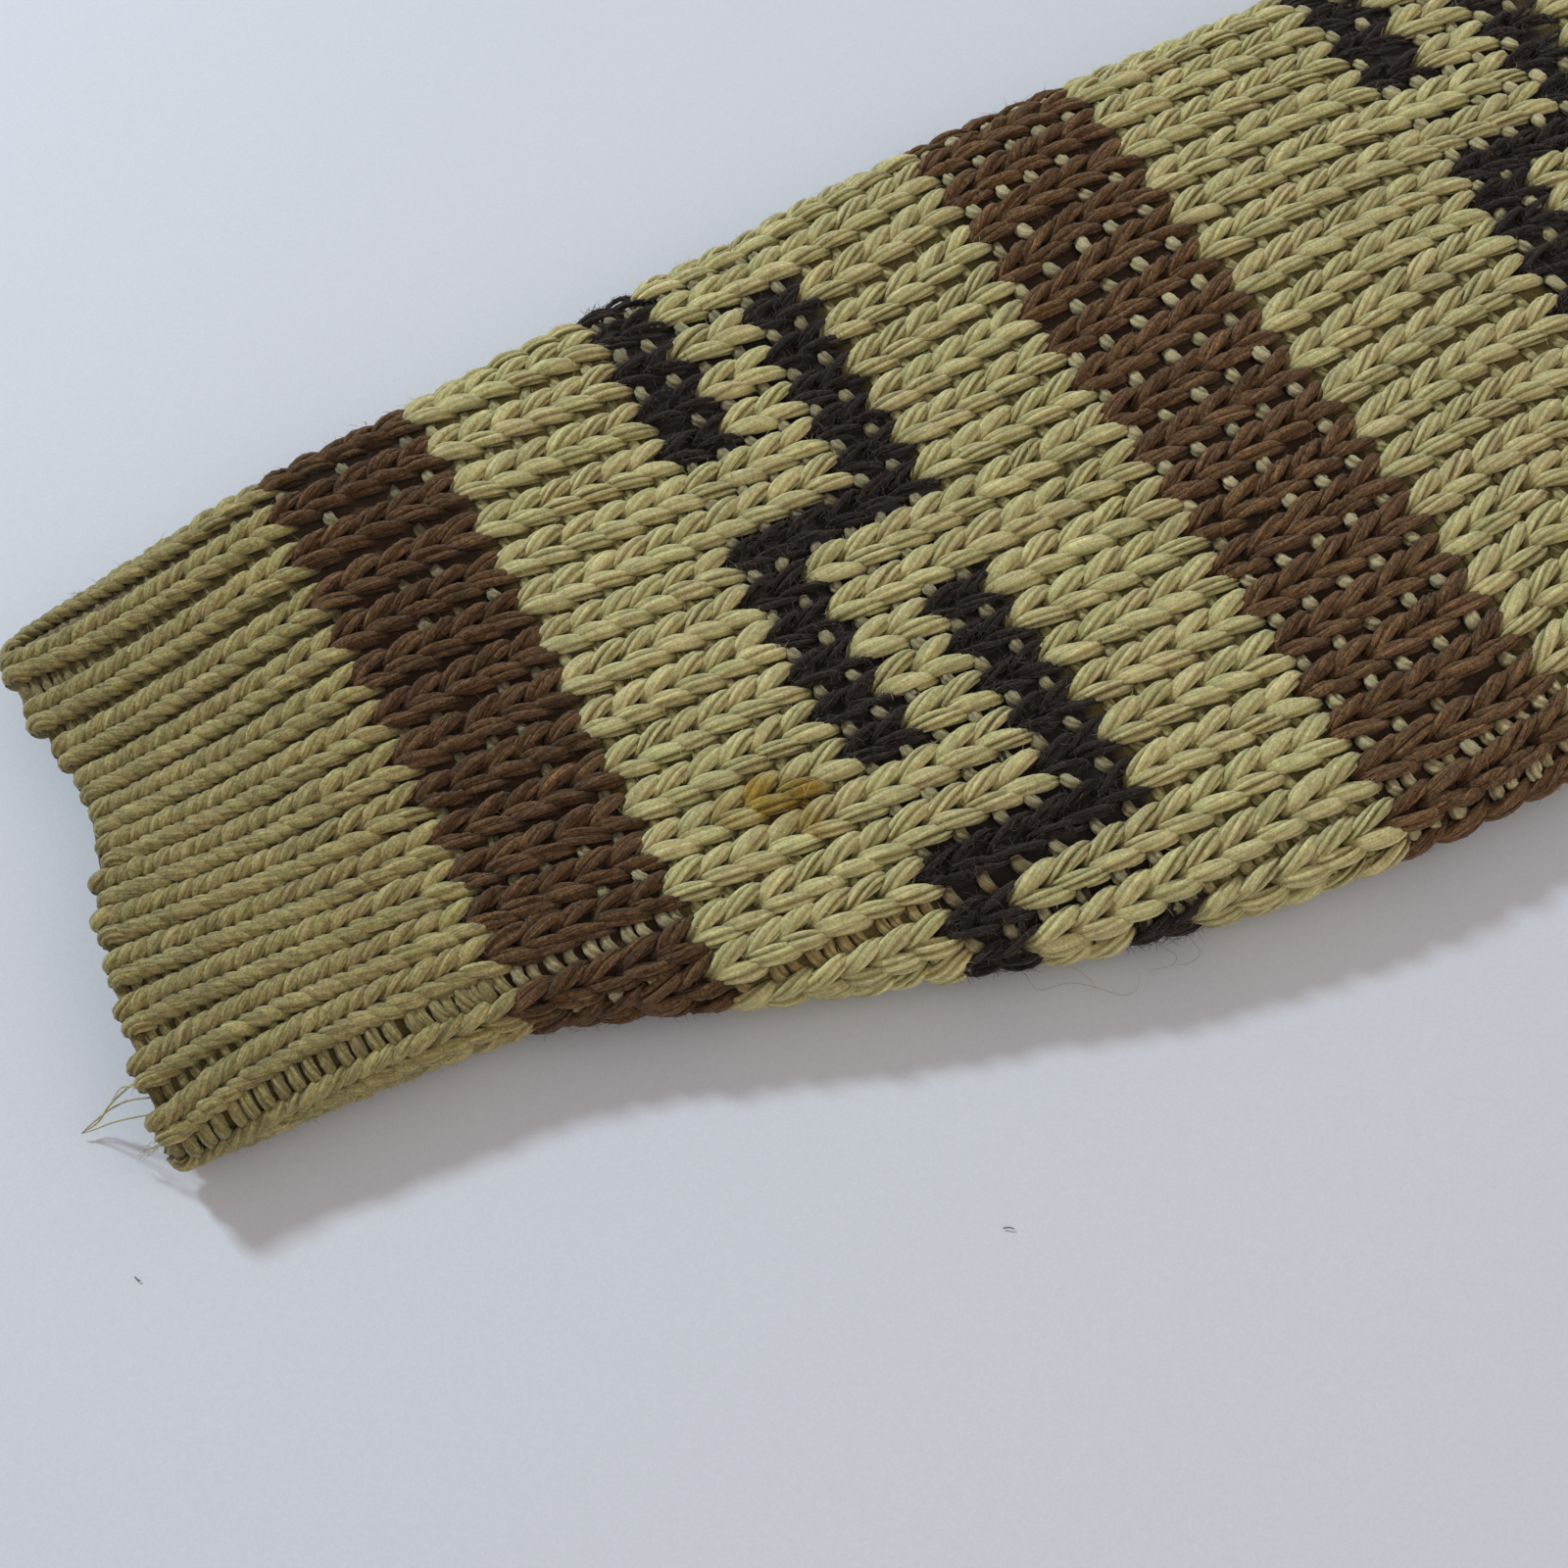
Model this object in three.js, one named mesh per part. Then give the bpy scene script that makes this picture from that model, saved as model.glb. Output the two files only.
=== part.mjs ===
// Lower part of a hand-knitted jumper sleeve, lying flat: a tapered tube in 1x1 rib,
// open at the cuff and at the top, worked as a stack of knitted sections.
// Millimetres, +Z up. +X runs up the sleeve from the cuff, Z = 0 is the flat underside,
// and the origin is the middle of the underside.

import * as THREE from 'three';

// ---------------------------------------------------------------- driving dimensions
const LENGTH = 422;            // cast-on edge to bind-off edge
const THICKNESS = 17;          // both layers lying flat, fold to fold
const WALL = 4.4;              // one layer of ribbed fabric
const FOLD_EXPONENT = 10;      // roundness of the folded sides
const FLAT_FACTOR = 1.06;      // how far the underside is pressed flat
const SECTION_GAP = 0.3;       // gap between neighbouring knitted sections
const INLAY_DEPTH = 1.5;       // how far the motif ground is set back under the black yarn
const INLAY_BACK = 1.15;       // back of the black yarn layer, below the outer surface
const INLAY_FACE = 0.05;       // face of the black yarn layer, below the outer surface
const WALE_SUBDIVISION = 4;    // facets per rib across the black yarn

// Outline of the sleeve lying flat: distance from the middle, lower fold, upper fold.
const OUTLINE = [
  [-211, -44.3, 55.3],
  [-202, -45.3, 57.0],
  [-188, -46.0, 60.2],
  [-173, -46.9, 63.7],
  [-152.5, -48.5, 68.7],
  [-133, -55.2, 72.5],
  [-113, -63.2, 74.6],
  [-86, -72.5, 77.2],
  [-58, -81.2, 81.0],
  [-33, -85.7, 84.2],
  [-8, -88.3, 86.2],
  [27, -89.25, 88.2],
  [67, -89.0, 88.8],
  [121, -89.0, 89.25],
  [167, -89.0, 89.25],
  [211, -89.0, 89.25],
];

// Where the rib columns lie: position along the sleeve, index of the column on the
// centre line of the top layer, and spacing of the columns.
const RIBS = [
  [-211, 6.5, 7.2],
  [-152.5, 6.2, 8.6],
  [-86, 7.1, 9.0],
  [-73, 7.25, 9.05],
  [-46, 7.7, 9.1],
  [27, 8.5, 9.3],
  [78, 8.6, 9.35],
  [121, 8.6, 9.35],
  [211, 8.6, 9.35],
];

// The knitted sections: name, start, end, colour, extra stations, setback of the face.
const ECRU = 0xa89f70;
const CUFF = 0x8f8660;
const BROWN = 0x4a3627;
const BLACK = 0x231f1b;
const SECTIONS = [
  ['cast_on_edge', -211, -208.2, CUFF, [], 0],
  ['cuff_rib', -208.2, -174, CUFF, [-188], 0],
  ['cuff_transition', -174, -152.5, CUFF, [], 0],
  ['brown_band_lower', -152.5, -121.5, BROWN, [-133], 0],
  ['ecru_band_lower', -121.5, -86, ECRU, [-104], 0],
  ['motif_ground_lower', -86, -46, ECRU, [-73.4, -58.8], INLAY_DEPTH],
  ['ecru_band_middle', -46, -11.5, ECRU, [-28], 0],
  ['brown_band_middle', -11.5, 27, BROWN, [8], 0],
  ['ecru_band_upper', 27, 78, ECRU, [52], 0],
  ['motif_ground_upper', 78, 121, ECRU, [92.3, 106.7], INLAY_DEPTH],
  ['ecru_band_top', 121, 156, ECRU, [], 0],
  ['brown_band_top', 156, 191, BROWN, [], 0],
  ['ecru_rib_top', 191, 208.2, ECRU, [], 0],
  ['bind_off_edge', 208.2, 211, ECRU, [], 0],
];

// Black motif: each figure has a riser one rib wide, a lower arm and an upper arm.
const MOTIF_ROWS = { lower: [-86, -73.4, -58.8, -46], upper: [78, 92.3, 106.7, 121] };
const MOTIF_RISERS = [-10, -2, 6, 14, 22];
const ARM_LENGTH = 5;

// Seam ridge inside the underside, where the two side edges are sewn together.
const SEAM = { start: -207, end: 207, width: 7, height: 1.4 };

// ---------------------------------------------------------------- helpers
function table(rows, x, column) {
  if (x <= rows[0][0]) return rows[0][column];
  for (let i = 1; i < rows.length; i++) {
    if (x <= rows[i][0]) {
      const k = (x - rows[i - 1][0]) / (rows[i][0] - rows[i - 1][0]);
      return rows[i - 1][column] * (1 - k) + rows[i][column] * k;
    }
  }
  return rows[rows.length - 1][column];
}

// One point of the cross-section at x: v runs from -1 (lower fold) to 1 (upper fold).
function sectionPoint(x, v, top, inset) {
  const lo = table(OUTLINE, x, 1);
  const hi = table(OUTLINE, x, 2);
  const half = (hi - lo) / 2 - inset;
  const rise = THICKNESS / 2 - inset;
  const u = Math.sqrt(Math.max(0, 1 - Math.pow(Math.abs(v), FOLD_EXPONENT)));
  const y = (hi + lo) / 2 + half * v;
  if (top) return [y, THICKNESS / 2 + rise * u];
  return [y, Math.max(inset, THICKNESS / 2 - FLAT_FACTOR * rise * u)];
}

const V_STEPS = [0, 0.35, 0.6, 0.78, 0.88, 0.94, 0.975, 0.994, 1];

function sectionLoop(x, inset) {
  const loop = [];
  const n = V_STEPS.length;
  for (let i = n - 1; i > 0; i--) loop.push(sectionPoint(x, V_STEPS[i], true, inset));
  for (let i = 0; i < n; i++) loop.push(sectionPoint(x, -V_STEPS[i], true, inset));
  for (let i = n - 2; i > 0; i--) loop.push(sectionPoint(x, -V_STEPS[i], false, inset));
  for (let i = 0; i < n - 1; i++) loop.push(sectionPoint(x, V_STEPS[i], false, inset));
  return loop; // counter-clockwise seen from +X
}

function solid(vertices, triangles) {
  const g = new THREE.BufferGeometry();
  g.setAttribute('position', new THREE.Float32BufferAttribute(vertices.flat(), 3));
  g.setIndex(triangles.flat());
  g.computeVertexNormals();
  return g;
}

// A ring of fabric: outer and inner loops lofted over the stations.
function ring(stations, faceInset) {
  const vertices = [];
  const triangles = [];
  const count = sectionLoop(stations[0], 0).length;
  for (const x of stations) {
    for (const [y, z] of sectionLoop(x, faceInset)) vertices.push([x, y, z]);
    for (const [y, z] of sectionLoop(x, WALL)) vertices.push([x, y, z]);
  }
  const id = (s, inner, i) => s * 2 * count + (inner ? count : 0) + (i % count);
  const quad = (a, b, c, d) => triangles.push([a, b, c], [a, c, d]);
  for (let s = 0; s + 1 < stations.length; s++) {
    for (let i = 0; i < count; i++) {
      quad(id(s, 0, i), id(s + 1, 0, i), id(s + 1, 0, i + 1), id(s, 0, i + 1));
      quad(id(s, 1, i + 1), id(s + 1, 1, i + 1), id(s + 1, 1, i), id(s, 1, i));
    }
  }
  const last = stations.length - 1;
  for (let i = 0; i < count; i++) {
    quad(id(0, 0, i), id(0, 0, i + 1), id(0, 1, i + 1), id(0, 1, i));
    quad(id(last, 0, i + 1), id(last, 0, i), id(last, 1, i), id(last, 1, i + 1));
  }
  return flipIfInside(solid(vertices, triangles));
}

function signedVolume(g) {
  const p = g.getAttribute('position');
  const idx = g.getIndex();
  const a = new THREE.Vector3();
  const b = new THREE.Vector3();
  const c = new THREE.Vector3();
  let volume = 0;
  for (let i = 0; i < idx.count; i += 3) {
    a.fromBufferAttribute(p, idx.getX(i));
    b.fromBufferAttribute(p, idx.getX(i + 1));
    c.fromBufferAttribute(p, idx.getX(i + 2));
    volume += a.dot(b.cross(c)) / 6;
  }
  return volume;
}

function flipIfInside(g) {
  if (signedVolume(g) < 0) {
    const idx = g.getIndex();
    for (let i = 0; i < idx.count; i += 3) {
      const t = idx.getX(i + 1);
      idx.setX(i + 1, idx.getX(i + 2));
      idx.setX(i + 2, t);
    }
    g.computeVertexNormals();
  }
  return g;
}

// Arc length along the face from the centre line of the top layer, at one station.
function unroll(x) {
  const samples = [];
  const steps = 400;
  let previous = null;
  let length = 0;
  for (let k = 0; k <= 2 * steps; k++) {
    const top = k <= steps;
    // v runs 0 -> 1 on the top layer and back 1 -> 0 on the underside
    const t = top ? k / steps : (2 * steps - k) / steps;
    const v = 1 - Math.pow(1 - t, 2.2);
    const [y, z] = sectionPoint(x, v, top, 0);
    if (previous) length += Math.hypot(y - previous[0], z - previous[1]);
    previous = [y, z];
    samples.push([length, v, top]);
  }
  return samples;
}

function facePoint(samples, x, arc, inset) {
  const side = arc < 0 ? -1 : 1;
  const target = Math.min(Math.abs(arc), samples[samples.length - 1][0]);
  let i = 1;
  while (i < samples.length - 1 && samples[i][0] < target) i++;
  const [l0, v0, t0] = samples[i - 1];
  const [l1, v1, t1] = samples[i];
  const k = l1 > l0 ? (target - l0) / (l1 - l0) : 0;
  const v = v0 + (v1 - v0) * k;
  const top = k < 0.5 ? t0 : t1;
  const [y, z] = sectionPoint(x, side * v, top, inset);
  return [x, y, z];
}

// A figure in black yarn: cells of the rib grid, laid on the face of the tube.
function figure(rows, riser) {
  const halfTurn = rows.map((x) => unroll(x));
  const limit = Math.min(...halfTurn.map((s) => s[s.length - 1][0])) - 4.5;
  // rib index to arc length: columns count downwards from the upper fold
  const arc = (x, rib) => (table(RIBS, x, 1) - rib) * table(RIBS, x, 2);
  const bands = [
    [riser, riser + ARM_LENGTH],
    [riser, riser],
    [riser - ARM_LENGTH, riser],
  ];
  const cells = new Set();
  for (let b = 0; b < 3; b++) {
    for (let rib = bands[b][0]; rib <= bands[b][1]; rib++) {
      for (let s = 0; s < WALE_SUBDIVISION; s++) {
        const left = rib - 0.5 + s / WALE_SUBDIVISION;
        const right = left + 1 / WALE_SUBDIVISION;
        const inside = [rows[b], rows[b + 1]].every(
          (x) => Math.abs(arc(x, left)) < limit && Math.abs(arc(x, right)) < limit
        );
        if (inside) cells.add(`${b}:${Math.round(left * WALE_SUBDIVISION)}`);
      }
    }
  }
  const vertices = [];
  const ids = new Map();
  const vertex = (row, column, layer) => {
    const key = `${row}:${column}:${layer}`;
    if (!ids.has(key)) {
      const x = rows[row] + (row === 0 ? 0.2 : 0) - (row === 3 ? 0.2 : 0);
      const inset = layer ? INLAY_BACK : INLAY_FACE;
      ids.set(key, vertices.length);
      vertices.push(facePoint(halfTurn[row], x, arc(rows[row], column / WALE_SUBDIVISION), inset));
    }
    return ids.get(key);
  };
  const triangles = [];
  const quad = (a, b, c, d) => triangles.push([a, b, c], [a, c, d]);
  for (const cell of cells) {
    const [b, col] = cell.split(':').map(Number);
    const corner = (layer) => [
      vertex(b, col, layer), vertex(b + 1, col, layer),
      vertex(b + 1, col + 1, layer), vertex(b, col + 1, layer),
    ];
    const f = corner(0);
    const r = corner(1);
    quad(f[3], f[2], f[1], f[0]);
    quad(r[0], r[1], r[2], r[3]);
    if (!cells.has(`${b}:${col - 1}`)) quad(f[0], f[1], r[1], r[0]);
    if (!cells.has(`${b}:${col + 1}`)) quad(f[2], f[3], r[3], r[2]);
    if (!cells.has(`${b - 1}:${col}`)) quad(f[3], f[0], r[0], r[3]);
    if (!cells.has(`${b + 1}:${col}`)) quad(f[1], f[2], r[2], r[1]);
  }
  return flipIfInside(solid(vertices, triangles));
}

// ---------------------------------------------------------------- assembly
const group = new THREE.Group();

function add(name, geometry, colour) {
  const mesh = new THREE.Mesh(
    geometry,
    new THREE.MeshStandardMaterial({ color: colour, roughness: 0.95, metalness: 0 })
  );
  mesh.name = name;
  group.add(mesh);
}

SECTIONS.forEach(([name, start, end, colour, extra, inset], i) => {
  const from = i === 0 ? start : start + SECTION_GAP / 2;
  const to = i === SECTIONS.length - 1 ? end : end - SECTION_GAP / 2;
  const inner = extra.concat(OUTLINE.map((row) => row[0]).filter((x) => x > from + 6 && x < to - 6));
  const kept = [];
  for (const x of inner.sort((a, b) => a - b)) {
    if (kept.length === 0 || x - kept[kept.length - 1] > 6) kept.push(x);
  }
  add(name, ring([from, ...kept, to], inset), colour);
});

for (const [level, rows] of Object.entries(MOTIF_ROWS)) {
  MOTIF_RISERS.forEach((riser, i) => {
    add(`black_figure_${level}_${i + 1}`, figure(rows, riser), BLACK);
  });
}

// Seam ridge: lies on the inner face of the underside, along the middle.
{
  const stations = [SEAM.start, -152.5, -86, -8, SEAM.end];
  const vertices = [];
  const triangles = [];
  const floor = WALL + SECTION_GAP;
  for (const x of stations) {
    const mid = (table(OUTLINE, x, 1) + table(OUTLINE, x, 2)) / 2;
    const w = SEAM.width / 2;
    vertices.push([x, mid - w, floor], [x, mid + w, floor], [x, mid + w * 0.6, floor + SEAM.height], [x, mid - w * 0.6, floor + SEAM.height]);
  }
  const quad = (a, b, c, d) => triangles.push([a, b, c], [a, c, d]);
  for (let s = 0; s + 1 < stations.length; s++) {
    for (let i = 0; i < 4; i++) {
      const j = (i + 1) % 4;
      quad(s * 4 + i, s * 4 + j, (s + 1) * 4 + j, (s + 1) * 4 + i);
    }
  }
  const l = (stations.length - 1) * 4;
  quad(3, 2, 1, 0);
  quad(l, l + 1, l + 2, l + 3);
  add('underarm_seam', flipIfInside(solid(vertices, triangles)), CUFF);
}

export default group;
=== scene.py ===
import math

import bpy
import numpy as np
from mathutils import Matrix, Vector


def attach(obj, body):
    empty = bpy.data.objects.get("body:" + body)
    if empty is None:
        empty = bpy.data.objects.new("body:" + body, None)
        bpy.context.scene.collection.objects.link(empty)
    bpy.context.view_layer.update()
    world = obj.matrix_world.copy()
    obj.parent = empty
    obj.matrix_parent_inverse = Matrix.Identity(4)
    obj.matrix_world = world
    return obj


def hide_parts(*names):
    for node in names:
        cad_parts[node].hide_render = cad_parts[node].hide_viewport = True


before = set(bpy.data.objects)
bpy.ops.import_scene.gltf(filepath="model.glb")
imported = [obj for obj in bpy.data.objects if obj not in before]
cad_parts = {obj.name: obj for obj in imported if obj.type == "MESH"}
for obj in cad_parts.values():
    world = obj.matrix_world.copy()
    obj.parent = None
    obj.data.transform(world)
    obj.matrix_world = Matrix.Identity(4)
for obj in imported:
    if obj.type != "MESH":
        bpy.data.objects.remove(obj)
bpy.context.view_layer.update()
rng = np.random.default_rng(20611)
MM = 0.001

# ------------------------------------------------------------------ the sleeve's shape (mm)
HGT = 17.0
FOLD = 10.0
FLAT = 1.06
WALL = 4.4
OUTLINE = np.array([
    (-211, -44.3, 55.3), (-202, -45.3, 57.0), (-188, -46.0, 60.2), (-173, -46.9, 63.7),
    (-152.5, -48.5, 68.7), (-133, -55.2, 72.5), (-113, -63.2, 74.6), (-86, -72.5, 77.2),
    (-58, -81.2, 81.0), (-33, -85.7, 84.2), (-8, -88.3, 86.2), (27, -89.25, 88.2),
    (67, -89.0, 88.8), (121, -89.0, 89.25), (167, -89.0, 89.25), (211, -89.0, 89.25)])


def smooth_line(xs, xp, fp, width=9.0):
    """A piecewise line rounded at its corners."""
    k = np.linspace(-1, 1, 15)
    wgt = np.exp(-2.5 * k * k)
    out = sum(w * np.interp(xs + width * q, xp, fp) for w, q in zip(wgt, k))
    return out / wgt.sum()


XS = np.arange(-222.0, 223.0, 2.0)
LO = smooth_line(XS, OUTLINE[:, 0], OUTLINE[:, 1])
HI = smooth_line(XS, OUTLINE[:, 0], OUTLINE[:, 2])
# the ribs of the cuff swell a little past the flat outline at the upper fold
SWELL = np.interp(XS, [-211, -195, -173, -152, -133, -113], [2.3, 2.1, 1.7, 1.2, 0.6, 0.0])
HI = HI + SWELL
M = 260


def build_section_table():
    half = (HI - LO) / 2
    t = np.linspace(0, 1, 1400)
    v = 1 - (1 - t) ** 2.4
    u = np.sqrt(np.clip(1 - v ** FOLD, 0, None))
    yo = np.concatenate([v, v[::-1][1:]])
    ztop = HGT / 2 + HGT / 2 * u
    zbot = np.maximum(0.0, HGT / 2 - FLAT * HGT / 2 * u)
    z = np.concatenate([ztop, zbot[::-1][1:]])
    frac = np.linspace(0, 1, M)
    Y = np.zeros((len(XS), M)); Z = np.zeros((len(XS), M)); L = np.zeros(len(XS))
    NY = np.zeros((len(XS), M)); NZ = np.zeros((len(XS), M))
    for i, b in enumerate(half):
        y = yo * b
        d = np.concatenate([[0], np.cumsum(np.hypot(np.diff(y), np.diff(z)))])
        L[i] = d[-1]
        Y[i] = np.interp(frac, d / d[-1], y)
        Z[i] = np.interp(frac, d / d[-1], z)
        ty = np.gradient(Y[i]); tz = np.gradient(Z[i])
        n = np.hypot(ty, tz) + 1e-9
        NY[i] = -tz / n; NZ[i] = ty / n
        NY[i, 0] = 0; NZ[i, 0] = 1
        for _ in range(2):  # soften the corner where the underside meets the table
            NY[i, 1:-1] = (NY[i, :-2] + 2 * NY[i, 1:-1] + NY[i, 2:]) / 4
            NZ[i, 1:-1] = (NZ[i, :-2] + 2 * NZ[i, 1:-1] + NZ[i, 2:]) / 4
    return Y, Z, NY, NZ, L


TY, TZ, TNY, TNZ, TL = build_section_table()
YC = (HI + LO) / 2


def half_turn(X):
    return np.interp(X, XS, TL)


def surface(X, c, h):
    """Point at X along the sleeve, c round it from the middle of the top layer (plus = towards the lower fold), h outward."""
    X, c, h = np.broadcast_arrays(np.asarray(X, float), np.asarray(c, float), np.asarray(h, float))
    L = half_turn(X)
    f = c / L
    f = (f + 1) % 2 - 1
    a = np.abs(f) * (M - 1)
    j = np.clip(a.astype(int), 0, M - 2); fj = a - j
    xi = np.clip((X - XS[0]) / 2.0, 0, len(XS) - 1.001)
    i = xi.astype(int); fi = xi - i

    def pick(T):
        return ((1 - fi) * ((1 - fj) * T[i, j] + fj * T[i, j + 1])
                + fi * ((1 - fj) * T[i + 1, j] + fj * T[i + 1, j + 1]))

    side = -np.sign(f + 1e-12)  # plus c goes to lower Y
    y0 = pick(TY); z0 = pick(TZ); ny = pick(TNY); nz = pick(TNZ)
    n = np.hypot(ny, nz) + 1e-9
    ny, nz = ny / n, nz / n
    yc = np.interp(X, XS, YC)
    # the fabric is not perfectly flat: slow waves on the top layer
    top = np.clip(nz, 0, 1)
    wave = (0.55 * np.sin(X * 0.031 + c * 0.045 + 0.7) + 0.4 * np.sin(X * 0.062 - c * 0.071 + 2.1)
            + 0.3 * np.sin(X * 0.017 + c * 0.12 + 4.0))
    # yarn stands proud on top, and stays just above the table underneath
    rest = np.clip(z0 / HGT, 0, 1)
    hh = h + wave * top * 0.8 - 1.05 * (1 - rest)
    P = np.stack([X, yc + side * (y0 + hh * ny), z0 + hh * nz], -1)
    N = np.stack([np.zeros_like(ny), side * ny, nz], -1)
    return P, N


# ------------------------------------------------------------------ where the ribs and rows lie
CH = np.array([
    [4.321, 77.123, -7.264, -0.069, -2.813], [-18.626, -0.419, -9.754, -3.452, -2.297],
    [-7.204, -4.013, -7.479, -0.993, -4.17], [-4.191, -9.683, -7.99, -3.001, -2.023],
    [-2.153, -3.362, -3.433, -1.31, -2.829], [-1.101, -4.398, -1.619, -0.583, -0.585],
    [-1.166, -2.057, -2.877, -1.343, -1.007]])
X_LO, X_HI = -206.0, 66.0


def fit(w, X):
    x = (X + 211) / 278 * 2 - 1
    ww = (w - 8.5) / 9
    return np.polynomial.chebyshev.chebval2d(x, ww, CH)


def rib_arc(w, X):
    """Distance round the sleeve of rib w (0.5 = between ribs 0 and 1) at X."""
    w, X = np.broadcast_arrays(np.asarray(w, float), np.asarray(X, float))
    x = np.clip(X, X_LO, X_HI)
    wa = np.interp(x, [-206, -40, -11, 27, 66], [0.0, 0.1, 1.2, 5.0, 6.5])
    wb = np.interp(x, [-206, -152, -93, -33, -10, 30, 66], [12.7, 13.0, 14.3, 15.8, 16.3, 15.6, 11.2])
    wc = np.clip(w, wa, wb)
    base = fit(wc, x)
    slope = (fit(wc, x) - fit(wc, x - 6.0)) / 6.0
    over = X - x
    base = base + np.where(over > 0, slope * 24 * (1 - np.exp(-over / 24)), 0)
    p_lo = np.interp(X, [-206, -150, -90, -20, 60], [7.6, 8.6, 9.2, 9.4, 9.6])
    p_hi = np.interp(X, [-206, -150, -90, -20, 60], [7.0, 7.4, 8.6, 9.2, 9.4])
    # the loose column between ribs 12 and 13 in the cuff
    gap = np.interp(X, [-211, -155, -135, -115, -95], [3.7, 3.9, 3.0, 1.5, 0.0])
    k = np.clip(w - 12.15, 0, 1)
    base = base + np.interp(X, XS, SWELL) / 2
    # the ladder between ribs 14 and 15 above the lower brown band
    open_ = np.interp(X, [-129, -120, -110, -98, -88, -76, -62], [0.0, 1.7, 2.0, 1.5, 1.2, 0.8, 0.0])
    k2 = np.clip(w - 14.1, 0, 1)
    base = base + open_ * (0.45 * k2 * k2 * (3 - 2 * k2) - 0.75 * np.exp(-((w - 14.0) / 0.6) ** 2) - 0.3 * np.exp(-((w - 13.0) / 0.6) ** 2))
    return base + (w - wc) * np.where(w < wc, p_lo, p_hi) + gap * k * k * (3 - 2 * k)


def rib_pitch(X):
    return np.interp(X, [-211, -152.5, -86, 27, 211], [7.4, 8.5, 9.0, 9.3, 9.35])


ROW_R = np.array([-2, 0, 6, 12, 13, 14, 16, 18, 23, 29, 31, 33, 35, 40, 45, 52, 58, 63, 68, 71, 72, 74.0])
ROW_S = np.array([-118.6, -113.5, -98.2, -82.6, -79.9, -77.0, -68.4, -59.5, -28.6, 7.0, 19.9, 33.8, 47.0,
                  81.8, 119.6, 171, 214, 249, 284, 302.5, 307, 315.0])
# how far the cast-on edge draws back at each rib; the under layer follows the top one
EDGE_TOP = np.array([4.6, 4.2, 4.9, 6.8, 8.2, 8.4, 7.3, 4.6, 2.7, 1.7, 1.0, -0.3, -0.8, -0.6, 0.6])
EDGE_W = np.arange(-9, 24)
EDGE_D = np.where(EDGE_W < 0, EDGE_TOP[np.abs(EDGE_W).clip(0, 14)] + 0.7,
                  np.where(EDGE_W > 14, EDGE_TOP[(28 - EDGE_W).clip(0, 14)] + 0.7, EDGE_TOP[EDGE_W.clip(0, 14)]))


def row_x(r, w):
    r, w = np.broadcast_arrays(np.asarray(r, float), np.asarray(w, float))
    x = np.interp(r, ROW_R, ROW_S) - 93.0
    k = np.clip(1 - r / 15.0, 0, 1.2)
    x = x + np.interp(w, EDGE_W, EDGE_D) * k * np.clip(k, 0, 1)
    # rows bow a little across the sleeve
    body = np.clip((r - 14) / 6, 0, 1)
    x = x + body * (0.55 * np.sin(w * 0.55 + r * 0.21) + 0.35 * np.sin(w * 0.9 - r * 0.33 + 1.0))
    late = np.clip((r - 38) / 8, 0, 1) * np.clip((w - 9) / 8, 0, 1.2)
    return x + 2.2 * late


def row_step(r, w):
    return row_x(r + 0.5, w) - row_x(r - 0.5, w)


LAST_ROW = 70
BANDS = [("cast_on_edge", -1, 0), ("cuff_rib", 0, 14), ("cuff_transition", 14, 18),
         ("brown_band_lower", 18, 23), ("ecru_band_lower", 23, 29), ("motif_ground_lower", 29, 35),
         ("ecru_band_middle", 35, 40), ("brown_band_middle", 40, 45), ("ecru_band_upper", 45, 52),
         ("motif_ground_upper", 52, 58), ("ecru_band_top", 58, 63), ("brown_band_top", 63, 68),
         ("ecru_rib_top", 68, 71)]
RISERS = [-10, -2, 6, 14, 22]


def figure_at(w, r):
    """(level, index) of the black figure that holds this stitch, or None."""
    for level, r0 in (("lower", 29), ("upper", 52)):
        if r0 <= r < r0 + 6:
            k = r - r0
            for i, s in enumerate(RISERS):
                if w == s or (k < 2 and s < w <= s + 5) or (k >= 4 and s - 5 <= w < s):
                    return level, i + 1
    return None


# ------------------------------------------------------------------ stitches
def catmull(ctrl, t):
    """Smooth curve through evenly spaced control values, ctrl [..., n], at t in 0..1."""
    n = ctrl.shape[-1]
    p = t * (n - 1)
    i = np.clip(p.astype(int), 0, n - 2)
    f = p - i
    i0 = np.clip(i - 1, 0, n - 1); i3 = np.clip(i + 2, 0, n - 1)
    a, b, c, d = ctrl[..., i0], ctrl[..., i], ctrl[..., i + 1], ctrl[..., i3]
    return 0.5 * ((2 * b) + (-a + c) * f + (2 * a - 5 * b + 4 * c - d) * f * f + (-a + 3 * b - 3 * c + d) * f ** 3)


STAINS = [(-100.6, -31.9, 5.6, 3.1, 1.0), (-95.6, -35.2, 5.4, 3.0, 1.0), (-101.2, -36.0, 4.6, 2.3, 1.0), (-107.4, -31.9, 3.6, 2.3, 0.6),
          (-96.2, -40.3, 2.4, 2.2, 0.7), (-100.5, -28.4, 1.5, 1.1, 0.6)]


def stain_at(X, Y, Z):
    """A rust-yellow stain on a few stitches between the lower brown band and the lower figures."""
    out = np.zeros(X.shape)
    if X.min() > -60 or X.max() < -120:
        return out
    for x0, y0, sx, sy, k in STAINS:
        out = np.maximum(out, k * np.exp(-(((X - x0) / sx) ** 2 + ((Y - y0) / sy) ** 2) ** 2))
    return out * (Z > 9)


ROOTS = {}        # where loose fibres can start, by piece


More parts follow.
